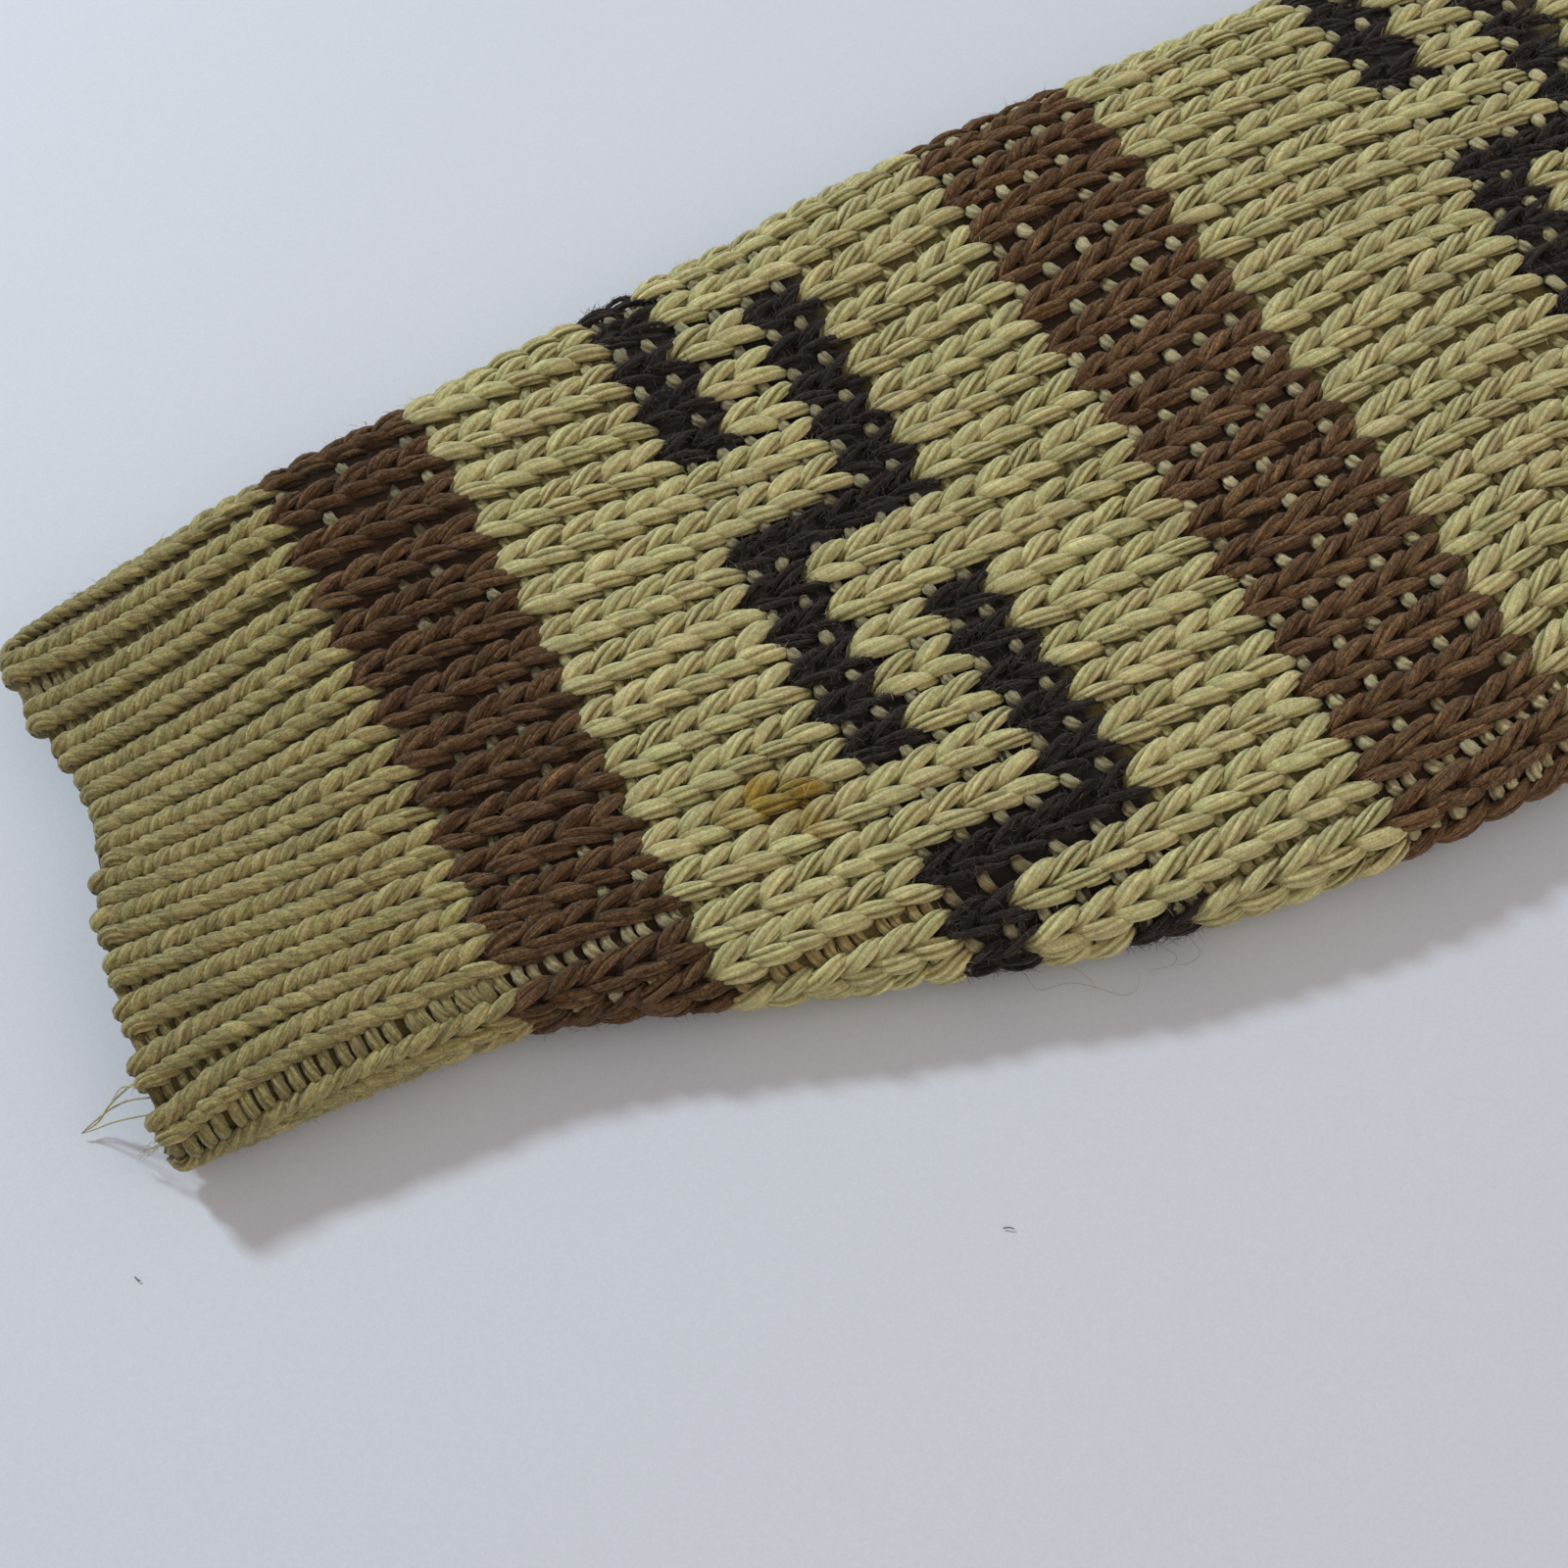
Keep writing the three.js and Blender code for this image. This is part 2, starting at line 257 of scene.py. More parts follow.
def strands(place, A, B, Hh, rad, rings, sides, plies, groove, twist, phase, flat, colour, roots=None, deepen=0.55, split=0, spread=0.50, thick=0.54):
    """Sweeps N strands. place(a, b) gives X and c for control values in rows and ribs; Hh and rad are in mm."""
    t = np.linspace(0, 1, rings)
    a = catmull(A, t); b = catmull(B, t); h = catmull(Hh, t); rr = catmull(rad, t)
    X, c = place(a, b)
    P, N = surface(X, c, h)
    T = np.gradient(P, axis=1)
    T /= np.linalg.norm(T, axis=-1, keepdims=True) + 1e-9
    Bn = np.cross(T, N)
    Bn /= np.linalg.norm(Bn, axis=-1, keepdims=True) + 1e-9
    Nn = np.cross(Bn, T)
    n = len(P)
    ang = np.arange(sides) * (2 * np.pi / sides)
    lobe = np.abs(np.sin(plies / 2 * ang)) ** 0.6
    seg = np.linalg.norm(np.diff(P, axis=1), axis=-1)
    along = np.concatenate([np.zeros((n, 1)), np.cumsum(seg, 1)], 1)
    lay = phase[:, None] + twist[:, None] * along
    which = (np.floor(np.arange(sides) * plies / sides).astype(int)) % plies
    near = (np.round(np.arange(sides) * plies / sides).astype(int)) % plies
    rust = stain_at(P[..., 0], P[..., 1], P[..., 2])[..., None, None]
    deep = np.clip((h + 0.75) / -1.8, 0, 1)[..., None]
    parts = []
    for k in range(max(split, 1)):
        if split:       # separate yarns lying side by side and turning round each other
            th0 = lay + 2 * np.pi * k / split
            off = rr * spread * (1 + rng.normal(0, 0.14, (n, 1)))
            C = P + (np.cos(th0) * off)[..., None] * Bn + (np.sin(th0) * off)[..., None] * Nn * flat[:, None, None]
            r_use = rr * thick * (1 + rng.normal(0, 0.08, (n, 1)))
            turn = lay * 2.2 + 1.7 * k
            # painted shade: a side-by-side yarn is darker while it turns under the others
            low = 1 - 0.45 * np.clip(-np.sin(th0), 0, 1)
        else:
            C, r_use, turn, low = P, rr, lay, np.ones_like(rr)
        ply_r = 1 + rng.normal(0, 0.05, (n, plies))
        uneven = rng.uniform(0.25, 1.6, (n, plies))[:, near]
        prof = (1 - groove[:, None] * uneven * (1 - lobe[None])) * (1 + (ply_r[:, which] - 1) * lobe[None])
        th = ang[None, None] + turn[..., None]
        rad_full = r_use[..., None] * prof[:, None]
        V = (C[:, :, None] + (np.cos(th) * rad_full)[..., None] * Bn[:, :, None]
             + (np.sin(th) * rad_full)[..., None] * Nn[:, :, None] * flat[:, None, None, None])
        V[..., 2] = np.maximum(V[..., 2], 0.0)      # the wool lies flat where it rests on the table
        # painted shade: darker in the grooves between plies and on each strand's underside; where the strand dives
        # under the next one, painted shade with a little dirt
        under = np.clip(-np.sin(th), 0, 1)
        ply_c = 1 + rng.normal(0, 0.05, (n, plies))
        shade = (1 - 0.42 * uneven * (groove / 0.22).clip(0.4, 1.3)[:, None] * (1 - lobe))[:, None]
        shade = (shade * (1 - deepen * deep) * (1 - 0.3 * under) * low[..., None]).clip(0.10, 1)
        # wool shades towards brown where light only reaches it off other wool
        col = colour[:, None, None, :] * (shade[..., None] ** np.array([1.0, 1.12, 1.45])) * ply_c[:, which][:, None, :, None]
        if split:
            col = col * (1 + rng.normal(0, 0.10, n))[:, None, None, None]
        col = col * (1 - rust) + col * np.array([0.55, 0.365, 0.03]) * rust
        yc = np.stack([np.broadcast_to(np.cos(ang), th.shape), np.broadcast_to(np.sin(ang), th.shape),
                       np.broadcast_to((along * 0.16)[..., None], th.shape) + rng.uniform(0, 60, n)[:, None, None]], -1)
        parts.append((V, col, yc))
    if roots is not None:
        ROOTS.setdefault(roots, []).append((P, T, Bn, Nn, rr, colour))
    return tuple(np.concatenate([q[i] for q in parts]) for i in range(3))


def free_strand(points, radius, colour, sides=6, taper=0.6):
    """A loose thread or hair through given points of the part's frame."""
    p = np.array(points, float)
    t = np.linspace(0, 1, 5 * (len(p) - 1) + 1)
    C = np.stack([catmull(p[None, :, a], t)[0] for a in range(3)], -1)
    T = np.gradient(C, axis=0); T /= np.linalg.norm(T, axis=-1, keepdims=True) + 1e-9
    A1 = np.cross(T, np.array([0.31, 0.22, 0.9])); A1 /= np.linalg.norm(A1, axis=-1, keepdims=True) + 1e-9
    A2 = np.cross(T, A1)
    wd = radius * (1 - taper * t ** 4)
    an = np.arange(sides) * 2 * np.pi / sides
    V = C[:, None] + wd[:, None, None] * (np.cos(an)[None, :, None] * A1[:, None] + np.sin(an)[None, :, None] * A2[:, None])
    V[..., 2] = np.maximum(V[..., 2], 0.05)
    col = np.broadcast_to(colour, V.shape).copy()
    return V[None], col[None], np.zeros((1,) + V.shape)


def on_rib(W, R):
    def place(a, b):
        X = row_x(R[:, None] + a, W[:, None] + 0 * a)
        return X, rib_arc(W[:, None] + 0 * X, X) + b * rib_pitch(X)
    return place


def between_ribs(W, R):
    """b = -1..1 spans the free width between rib W and rib W + 1."""
    def place(a, b):
        X = row_x(R[:, None] + a, W[:, None] + 0.5 + 0 * a)
        c0 = rib_arc(W[:, None] + 0 * X, X); c1 = rib_arc(W[:, None] + 1 + 0 * X, X)
        half = np.clip((c1 - c0) / 2 - 0.29 * rib_pitch(X), 1.1, 9)
        return X, (c0 + c1) / 2 + b * half
    return place


def fibres(root, count, spread=1.0, length=(0.5, 2.5), width=0.034, lift=0.35, tone=(1.0, 1.25)):
    """Loose fibres standing off the strands: thin three-sided tapering hairs."""
    src = ROOTS.get(root)
    if not src or count <= 0:
        return []
    size = np.array([len(q[0]) for q in src])
    pick = rng.choice(len(src), count, p=size / size.sum())
    out = []
    for k in range(len(src)):
        m = int((pick == k).sum())
        if not m:
            continue
        P, T, Bn, Nn, rr, colour = src[k]
        i = rng.integers(0, len(P), m); lo = max(1, P.shape[1] // 5)
        j = rng.integers(lo, P.shape[1] - lo, m)
        th = np.pi / 2 + rng.normal(0, 0.8, m)
        o = Bn[i, j] * np.cos(th)[:, None] + Nn[i, j] * np.sin(th)[:, None]
        start = P[i, j] + o * (rr[i, j] * 0.82)[:, None]
        side = np.cross(T[i, j], o)
        d = (T[i, j] * rng.normal(0, 1.0, m)[:, None] + side * rng.normal(0, 0.8, m)[:, None] * spread + o * (lift + 0.35 * rng.random(m))[:, None])
        d /= np.linalg.norm(d, axis=1, keepdims=True)
        bend = rng.normal(0, 1, (m, 3)); bend -= (bend * d).sum(1)[:, None] * d
        bend /= np.linalg.norm(bend, axis=1, keepdims=True) + 1e-9
        bend = bend * rng.uniform(0.1, 0.55, m)[:, None] - o * 0.32
        ln = rng.uniform(*length, m)
        s = np.linspace(0, 1, 4)
        C = start[:, None] + ln[:, None, None] * (d[:, None] * s[None, :, None] + bend[:, None] * (s ** 2)[None, :, None] * 0.8)
        C[..., 2] = np.maximum(C[..., 2], 0.15)
        Tn = np.gradient(C, axis=1); Tn /= np.linalg.norm(Tn, axis=-1, keepdims=True) + 1e-9
        A1 = np.cross(Tn, np.array([0.3, 0.2, 1.0])); A1 /= np.linalg.norm(A1, axis=-1, keepdims=True) + 1e-9
        A2 = np.cross(Tn, A1)
        w = width * np.array([1.0, 0.95, 0.8, 0.4])
        an = np.arange(3) * 2 * np.pi / 3
        V = C[:, :, None] + w[None, :, None, None] * (np.cos(an)[None, None, :, None] * A1[:, :, None] + np.sin(an)[None, None, :, None] * A2[:, :, None])
        # painted highlight: each fibre is brighter than its yarn by the factor tone, for the light the loose fibres
        # catch
        col = np.broadcast_to((colour[i] * rng.uniform(*tone, m)[:, None])[:, None, None, :], V.shape).copy()
        yc = np.zeros(V.shape)
        out.append((V, col, yc))
    return out


def grid_faces(rings, sides):
    f = []
    for i in range(rings - 1):
        for j in range(sides):
            k = (j + 1) % sides
            f.append((i * sides + j, i * sides + k, (i + 1) * sides + k, (i + 1) * sides + j))
    return np.array(f)


def make_piece(name, groups, material, replaces=()):
    """groups: list of (V [N,r,s,3], col, yc). Builds one mesh with closed strands."""
    verts, cols, ycs, faces, uvs = [], [], [], [], []
    groups = [g for g in groups if len(g[0])]
    tot = sum(g[0].shape[0] for g in groups if g[0].shape[2] > 3)
    if tot == 0:
        return None
    tot += 1
    side_n = int(math.ceil(math.sqrt(tot)))
    cell = 1.0 / side_n
    base = 0; k0 = 0
    loops_v, loops_uv, starts, totals = [], [], [], []
    for V, col, yc in groups:
        n, r, s, _ = V.shape
        if n == 0:
            continue
        verts.append(V.reshape(-1, 3)); cols.append(col.reshape(-1, 3)); ycs.append(yc.reshape(-1, 3))
        q = grid_faces(r, s)
        caps0 = np.arange(s)[::-1]; caps1 = np.arange(s) + (r - 1) * s
        off = base + np.arange(n) * r * s
        qa = (off[:, None, None] + q[None]).reshape(-1, 4)
        # uv for quads
        i = np.repeat(np.arange(r - 1), s); j = np.tile(np.arange(s), r - 1)
        cu = np.stack([i, i, i + 1, i + 1], 1) / (r - 1)
        cv = np.stack([j, j + 1, j + 1, j], 1) / s
        idx = (k0 + np.arange(n)) if s > 3 else np.full(n, tot - 1)
        ox = (idx % side_n) * cell; oy = (idx // side_n) * cell
        pad = 0.04
        u = ox[:, None, None] + cell * (pad + (1 - 2 * pad) * cu[None] * 0.94)
        v = oy[:, None, None] + cell * (pad + (1 - 2 * pad) * cv[None])
        loops_v.append(qa.reshape(-1)); loops_uv.append(np.stack([u, v], -1).reshape(-1, 2))
        totals.append(np.full(len(qa), 4))
        for caps, cx in ((caps0, 0.955), (caps1, 0.985)):
            ca = (off[:, None] + caps[None]).reshape(-1)
            loops_v.append(ca)
            a = 2 * np.pi * np.arange(s) / s
            uu = ox[:, None] + cell * (cx + 0.008 * np.cos(a))[None]
            vv = oy[:, None] + cell * (0.5 + 0.3 * np.sin(a))[None]
            loops_uv.append(np.stack([uu, vv], -1).reshape(-1, 2))
            totals.append(np.full(n, s))
        base += n * r * s
        if s > 3:
            k0 += n
    verts = np.concatenate(verts) * MM
    lv = np.concatenate(loops_v); tt = np.concatenate(totals)
    me = bpy.data.meshes.new(name)
    me.vertices.add(len(verts)); me.vertices.foreach_set("co", verts.astype(np.float32).ravel())
    me.loops.add(len(lv)); me.loops.foreach_set("vertex_index", lv.astype(np.int32))
    me.polygons.add(len(tt))
    me.polygons.foreach_set("loop_start", np.concatenate([[0], np.cumsum(tt)[:-1]]).astype(np.int32))
    me.polygons.foreach_set("loop_total", tt.astype(np.int32))
    me.update(calc_edges=True)
    uvl = me.uv_layers.new(name="OFBake")
    uvl.data.foreach_set("uv", np.concatenate(loops_uv).astype(np.float32).ravel())
    ca = me.color_attributes.new(name="tint", type="FLOAT_COLOR", domain="POINT")
    cc = np.concatenate(cols); ca.data.foreach_set("color", np.concatenate([cc, np.ones((len(cc), 1))], 1).astype(np.float32).ravel())
    at = me.attributes.new(name="fibre", type="FLOAT_VECTOR", domain="POINT")
    at.data.foreach_set("vector", np.concatenate(ycs).astype(np.float32).ravel())
    me.polygons.foreach_set("use_smooth", np.ones(len(tt), bool))
    me.materials.append(material)
    me.validate()
    ob = bpy.data.objects.new(name, me)
    bpy.context.scene.collection.objects.link(ob)
    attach(ob, "root")
    if replaces:
        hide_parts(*replaces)
    return ob


# ------------------------------------------------------------------ colours (linear)
def lin(r, g, b):
    c = np.array([r, g, b]) / 255.0
    return np.where(c <= 0.04045, c / 12.92, ((c + 0.055) / 1.055) ** 2.4)


ECRU = lin(198, 187, 132) * np.array([1.01, 1.06, 1.06])
# the cuff's base tone, darkened a further 0.78 and warmed as painted shade of the tight rib
CUFF = lin(176, 166, 114) * np.array([0.785, 0.78, 0.72])
BROWN = lin(112, 80, 53) * np.array([1.0, 1.11, 1.02])
BLACK = lin(50, 43, 38)
BUMP = lin(186, 178, 136)


# ------------------------------------------------------------------ materials
def yarn_material(name, rough=0.92, sheen=0.25, sheen_tint=(1, 0.97, 0.88), bump=0.6, fleck=0.36):
    m = bpy.data.materials.new(name)
    m.use_nodes = True
    nt = m.node_tree
    for n in list(nt.nodes):
        nt.nodes.remove(n)
    N = nt.nodes.new
    out = N("ShaderNodeOutputMaterial"); bs = N("ShaderNodeBsdfPrincipled")
    nt.links.new(bs.outputs[0], out.inputs[0])
    bs.inputs["Roughness"].default_value = rough
    bs.inputs["Sheen Weight"].default_value = sheen
    bs.inputs["Sheen Roughness"].default_value = 0.5
    bs.inputs["Sheen Tint"].default_value = (*sheen_tint, 1)
    bs.inputs["Specular IOR Level"].default_value = 0.25
    col = N("ShaderNodeAttribute"); col.attribute_name = "tint"
    fib = N("ShaderNodeAttribute"); fib.attribute_name = "fibre"
    # hair-fine fibres running along the plies
    mp = N("ShaderNodeMapping"); mp.inputs["Scale"].default_value = (3.6, 3.6, 1.5)
    nt.links.new(fib.outputs["Vector"], mp.inputs[0])
    n1 = N("ShaderNodeTexNoise"); n1.inputs["Scale"].default_value = 1.0; n1.inputs["Detail"].default_value = 3.0
    n1.inputs["Roughness"].default_value = 0.65
    nt.links.new(mp.outputs[0], n1.inputs["Vector"])
    # cloudy unevenness of the spun wool
    tc = N("ShaderNodeTexCoord")
    n2 = N("ShaderNodeTexNoise"); n2.inputs["Scale"].default_value = 300.0; n2.inputs["Detail"].default_value = 2.0
    nt.links.new(tc.outputs["Object"], n2.inputs["Vector"])
    # short fibres lying every way over the surface
    n3 = N("ShaderNodeTexNoise"); n3.inputs["Scale"].default_value = 1500.0; n3.inputs["Detail"].default_value = 4.0
    n3.inputs["Distortion"].default_value = 1.2
    nt.links.new(tc.outputs["Object"], n3.inputs["Vector"])
    r1 = N("ShaderNodeMapRange"); r1.inputs["From Min"].default_value = 0.36; r1.inputs["From Max"].default_value = 0.64
    r1.inputs["To Min"].default_value = 1.0 - fleck; r1.inputs["To Max"].default_value = 1.0 + fleck * 0.7
    nt.links.new(n1.outputs["Fac"], r1.inputs["Value"])
    r2 = N("ShaderNodeMapRange"); r2.inputs["From Min"].default_value = 0.3; r2.inputs["From Max"].default_value = 0.7
    r2.inputs["To Min"].default_value = 0.9; r2.inputs["To Max"].default_value = 1.08
    nt.links.new(n2.outputs["Fac"], r2.inputs["Value"])
    r3 = N("ShaderNodeMapRange"); r3.inputs["From Min"].default_value = 0.36; r3.inputs["From Max"].default_value = 0.64
    r3.inputs["To Min"].default_value = 1.0 - fleck * 0.8; r3.inputs["To Max"].default_value = 1.0 + fleck * 0.8
    nt.links.new(n3.outputs["Fac"], r3.inputs["Value"])
    mu = N("ShaderNodeMath"); mu.operation = "MULTIPLY"
    nt.links.new(r1.outputs[0], mu.inputs[0]); nt.links.new(r2.outputs[0], mu.inputs[1])
    mv = N("ShaderNodeMath"); mv.operation = "MULTIPLY"
    nt.links.new(mu.outputs[0], mv.inputs[0]); nt.links.new(r3.outputs[0], mv.inputs[1])
    vm = N("ShaderNodeVectorMath"); vm.operation = "SCALE"
    nt.links.new(col.outputs["Color"], vm.inputs[0]); nt.links.new(mv.outputs[0], vm.inputs["Scale"])
    nt.links.new(vm.outputs[0], bs.inputs["Base Color"])
    ad = N("ShaderNodeMath"); ad.operation = "ADD"
    nt.links.new(n1.outputs["Fac"], ad.inputs[0]); nt.links.new(n3.outputs["Fac"], ad.inputs[1])
    bp = N("ShaderNodeBump"); bp.inputs["Strength"].default_value = bump; bp.inputs["Distance"].default_value = 0.0003
    nt.links.new(ad.outputs[0], bp.inputs["Height"])
    nt.links.new(bp.outputs[0], bs.inputs["Normal"])
    return m


MAT = {
    "ecru": yarn_material("ecru_wool", fleck=0.24),
    "cuff": yarn_material("cuff_wool", fleck=0.34),
    "brown": yarn_material("brown_wool", sheen=0.2, sheen_tint=(0.9, 0.75, 0.6), fleck=0.62, bump=0.9),
    "black": yarn_material("black_wool", sheen=0.15, sheen_tint=(0.8, 0.75, 0.7), fleck=0.7, bump=0.9),
}


# ------------------------------------------------------------------ knit columns
def all_ribs(r):
    X = row_x(r + 0.5, 8.0)
    L = float(half_turn(X))
    out = []
    for w in range(-20, 40):
        c = float(rib_arc(w, X))
        if -L + 3.0 < c < L - 3.0:
            out.append((w, c, L))
    return out


def is_front(c, L):
    return abs(c) < L * 0.62


stitches = []      # (band, w, r, front)
for band, r0, r1 in BANDS:
    if band == "cast_on_edge":
        continue
    for r in range(r0, r1):
        for w, c, L in all_ribs(r):
            stitches.append((band, w, r, is_front(c, L)))

def knit_colour(kind, w, r, n):
    jit = 1 + rng.normal(0, 0.035, n)
    hue = rng.normal(0, 0.012, (n, 3))
    base = {"ecru": ECRU, "cuff": CUFF, "brown": BROWN, "black": BLACK}[kind]
    col = base[None] * jit[:, None] * (1 + hue)
    return col


def build_legs(items, kind, fine, root=None):
    """items: list of (w, r). Two legs per stitch."""
    if not items:
        return []
    W = np.array([i[0] for i in items], float); R = np.array([i[1] for i in items], float)
    W = np.repeat(W, 2); R = np.repeat(R, 2)
    S = np.tile([-1.0, 1.0], len(items))
    n = len(W)
    step = row_step(R + 0.5, W)                         # mm per row here
    tight = np.clip((6.0 - step) / 3.2, 0, 1)          # 1 in the tight cuff, 0 in the body
    j = lambda s: rng.normal(0, s, n)
    ja, jb, jh = j(0.04), j(0.010), j(0.12)
    pair = np.repeat(rng.normal(0, 0.035, len(items)), 2)
    z = np.zeros(n)
    # start deep at the vertex, over the top, and under the next row
    A = np.stack([-0.20 + z, 0.02 + z, 0.36 + z, 0.76 + z, 1.12 + z, 1.45 + z], 1)
    Bv = np.stack([0.035 + z, 0.085 + z, 0.170 + z, 0.252 + z, 0.300 + z, 0.300 + z], 1)
    Hv = np.stack([-3.0 + z, -1.35 + z, -0.50 + z, -0.48 + z, -1.15 + z, -2.9 + z], 1)
    # tight rib: rope-like columns, short steep strands overlapping each other
    At = np.stack([-0.55 + z, -0.15 + z, 0.35 + z, 0.85 + z, 1.35 + z, 1.75 + z], 1)
    Bt = np.stack([0.050 + z, 0.090 + z, 0.182 + z, 0.275 + z, 0.340 + z, 0.355 + z], 1)
    Ht = np.stack([-2.2 + z, -1.05 + z, -0.48 + z, -0.50 + z, -1.15 + z, -2.2 + z], 1)
    k = tight[:, None]
    A = A * (1 - k) + At * k; Bv = Bv * (1 - k) + Bt * k; Hv = Hv * (1 - k) + Ht * k
    A = A + (ja + pair)[:, None]; Bv = (Bv + jb[:, None]) * S[:, None]; Hv = Hv + jh[:, None]
    R0 = {"ecru": 1.57, "cuff": 1.55, "brown": 1.50, "black": 1.02}[kind]
    Rr = R0 * (1 - tight) + 1.17 * tight
    Rr = Rr * (1 + j(0.045))
    rad = Rr[:, None] * np.array([0.52, 0.89, 1.10, 1.10, 0.89, 0.46])[None]
    groove = np.full(n, {"ecru": 0.26, "cuff": 0.23, "brown": 0.42, "black": 0.45}[kind]) * (1 + j(0.15)) * (1 - 0.5 * tight)
    plies = {"ecru": 6, "cuff": 6, "brown": 4, "black": 4}[kind]
    if fine:
        rings = 9 if kind == "cuff" else 11
        if kind == "cuff":
            plies = 5
        sides = {6: 18, 5: 15}.get(plies, 9)
    else:
        rings, sides, plies = 7, 9, 3
    twist = 0.16 * (1 + 0.7 * tight) + j(0.035)
    split, spread, thick = 0, 0.5, 0.54
    if kind in ("brown", "black") and fine:
        twist = twist + j(0.06)
        split, plies, rings = (3, 3, 10) if kind == "brown" else (2, 3, 10)
        spread, thick = (0.47, 0.54) if kind == "brown" else (0.60, 0.54)
        groove = groove * 0.4
    phase = rng.uniform(0, 2 * np.pi, n)
    flat = np.full(n, 0.86)
    col = knit_colour(kind, W, R, n)
    if kind == "brown":      # the lower band is a little darker than the others
        col = col * np.where(R < 30, 0.84, 1.12)[:, None]
    if kind == "cuff":       # painted shade: the tight rows darkest, lightening row by row towards the looser body
        col = col * np.interp(R, [0, 6, 13, 18], [0.93, 0.99, 1.05, 1.20])[:, None]
    return [strands(on_rib(W, R), A, Bv, Hv, rad, rings, sides, plies, groove, twist, phase, flat, col, root if fine else None,
                    split=split, spread=spread, thick=thick, deepen=0.68 if kind == "cuff" else 0.62)]


def wide_gap(w, r):
    return (w == 12 and r < 26) or (w == 14 and 24 <= r < 40) or (w == 16 and r >= 34) or (w == 17 and r >= 36) or (w == -1 and 18 <= r < 36)


def build_bumps(items, kind, fine, root=None):
    """Purl bumps in the channel to the high side of rib w."""
    if not items:
        return []
    ex = []
    for w, r in items:
        miss = 0.0
        if kind == "bump":      # many bumps are buried in the dark yarn
            miss = (0.6 if w < 11 else 0.15) if r < 24 else (0.05 if 29 <= r < 35 else 0.06)
        if rng.random() >= miss:
            ex.append((w, r, 0.0, 1.0))
        if wide_gap(w, r) and r >= 14 and not (w == 14 and 29 <= r < 35) and rng.random() >= miss:
            ex.append((w, r, 0.42, 0.85))
    W = np.array([i[0] for i in ex], float); R = np.array([i[1] for i in ex], float)
    O = np.array([i[2] for i in ex]); K = np.array([i[3] for i in ex])
    n = len(W); z = np.zeros(n)
    step = row_step(R + 0.5, W)
    tight = np.clip((6.0 - step) / 3.2, 0, 1)
    j = lambda s: rng.normal(0, s, n)
    ext = 0.95 if kind == "bump" else 1.15
    mid = 0.52 + O
    A = np.stack([mid + 0.14, mid + 0.02, mid - 0.04, mid + 0.02, mid + 0.14], 1) + j(0.05)[:, None]
    lean = (j(0.05) + 0.06) * (1 - tight) + 0.10 * tight
    Bv = np.stack([-ext + z, -0.55 * ext + z, 0.0 + z, 0.55 * ext + z, ext + z], 1)
    A = A + lean[:, None] * Bv
    top = np.full(n, {"bump": -1.2, "cuff": -1.75, "ecru": -2.0}[kind]) + j({"bump": 0.3}.get(kind, 0.12))
    if kind == "cuff":
        top = np.where(W == 12, -0.95, np.where(W < 8, top - 0.5, top + 0.1))
    top = np.where((W == 14) & (R >= 23) & (R < 32), -1.45 + j(0.15), top)
    if kind == "bump":
        top = top - np.where(R < 24, np.where(W < 11, 0.75, 0.3), np.where((R > 28) & (R < 36), 0.12, 0.0))
    Hv = np.stack([-2.9 + z, top - 0.45, top, top - 0.45, -2.9 + z], 1)
    Rr = ({"bump": 1.22, "cuff": 1.15, "ecru": 1.15}[kind] * (1 - tight) + 0.86 * tight) * (1 + j(0.07)) * K
    Rr = Rr * np.where((kind == "bump") & (R >= 40), 1.12, np.where((kind == "cuff") & (W == 12), 1.34, 1.0))
    rad = Rr[:, None] * np.array([0.7, 0.95, 1.0, 0.95, 0.7])[None]
    rings, sides, plies = (7, 15, 5) if fine else (5, 6, 3)
    base = {"bump": BUMP, "cuff": CUFF * 0.92, "ecru": ECRU * 0.9}[kind]
    col = base[None] * (1 + rng.normal(0, 0.05, n))[:, None]
    ladder = (W == 14) & (R >= 23) & (R < 32)
    col = np.where(ladder[:, None], col * np.array([0.80, 0.69, 0.60]), col)
    if kind == "bump":
        col = col * np.where(R < 24, np.where(W < 11, 0.62, 0.85), np.where((R > 28) & (R < 36), 0.66, 1.0))[:, None] * (1 + rng.normal(0, 0.08, n))[:, None]
    return [strands(between_ribs(W, R), A, Bv, Hv, rad, rings, sides, plies, np.full(n, 0.18), np.full(n, 0.30) + j(0.1),
                    rng.uniform(0, 6.28, n), np.full(n, 0.9), col, root if fine else None, deepen=0.35)]


def build_floats(spots):
    """Black yarn carried across behind the ecru ribs, where it shows in the channels. spots: (w, r, offset, height)."""
    W = np.array([q[0] for q in spots], float); R = np.array([q[1] for q in spots], float)
    O = np.array([q[2] for q in spots], float); Hc = np.array([q[3] for q in spots], float)
    n = len(W); z = np.zeros(n)
    j = lambda q: rng.normal(0, q, n)
    A = np.stack([0.62 + O, 0.55 + O, 0.50 + O, 0.47 + O, 0.42 + O], 1) + j(0.05)[:, None]
    Bv = np.stack([-1.5 + z, -0.6 + z, 0.0 + z, 0.6 + z, 1.5 + z], 1)
    Hv = np.stack([-2.9 + z, Hc - 0.3, Hc, Hc - 0.3, -2.9 + z], 1)
    rad = (1.0 * (1 + j(0.08)))[:, None] * np.array([0.8, 1.0, 1.05, 1.0, 0.8])[None]
    col = BLACK[None] * (1 + rng.normal(0, 0.06, n))[:, None]
    return [strands(between_ribs(W, R), A, Bv, Hv, rad, 8, 8, 3, np.full(n, 0.16), np.full(n, 0.22) + j(0.08),
                    rng.uniform(0, 6.28, n), np.full(n, 0.9), col, None, deepen=0.2, split=2, spread=0.6, thick=0.56)]


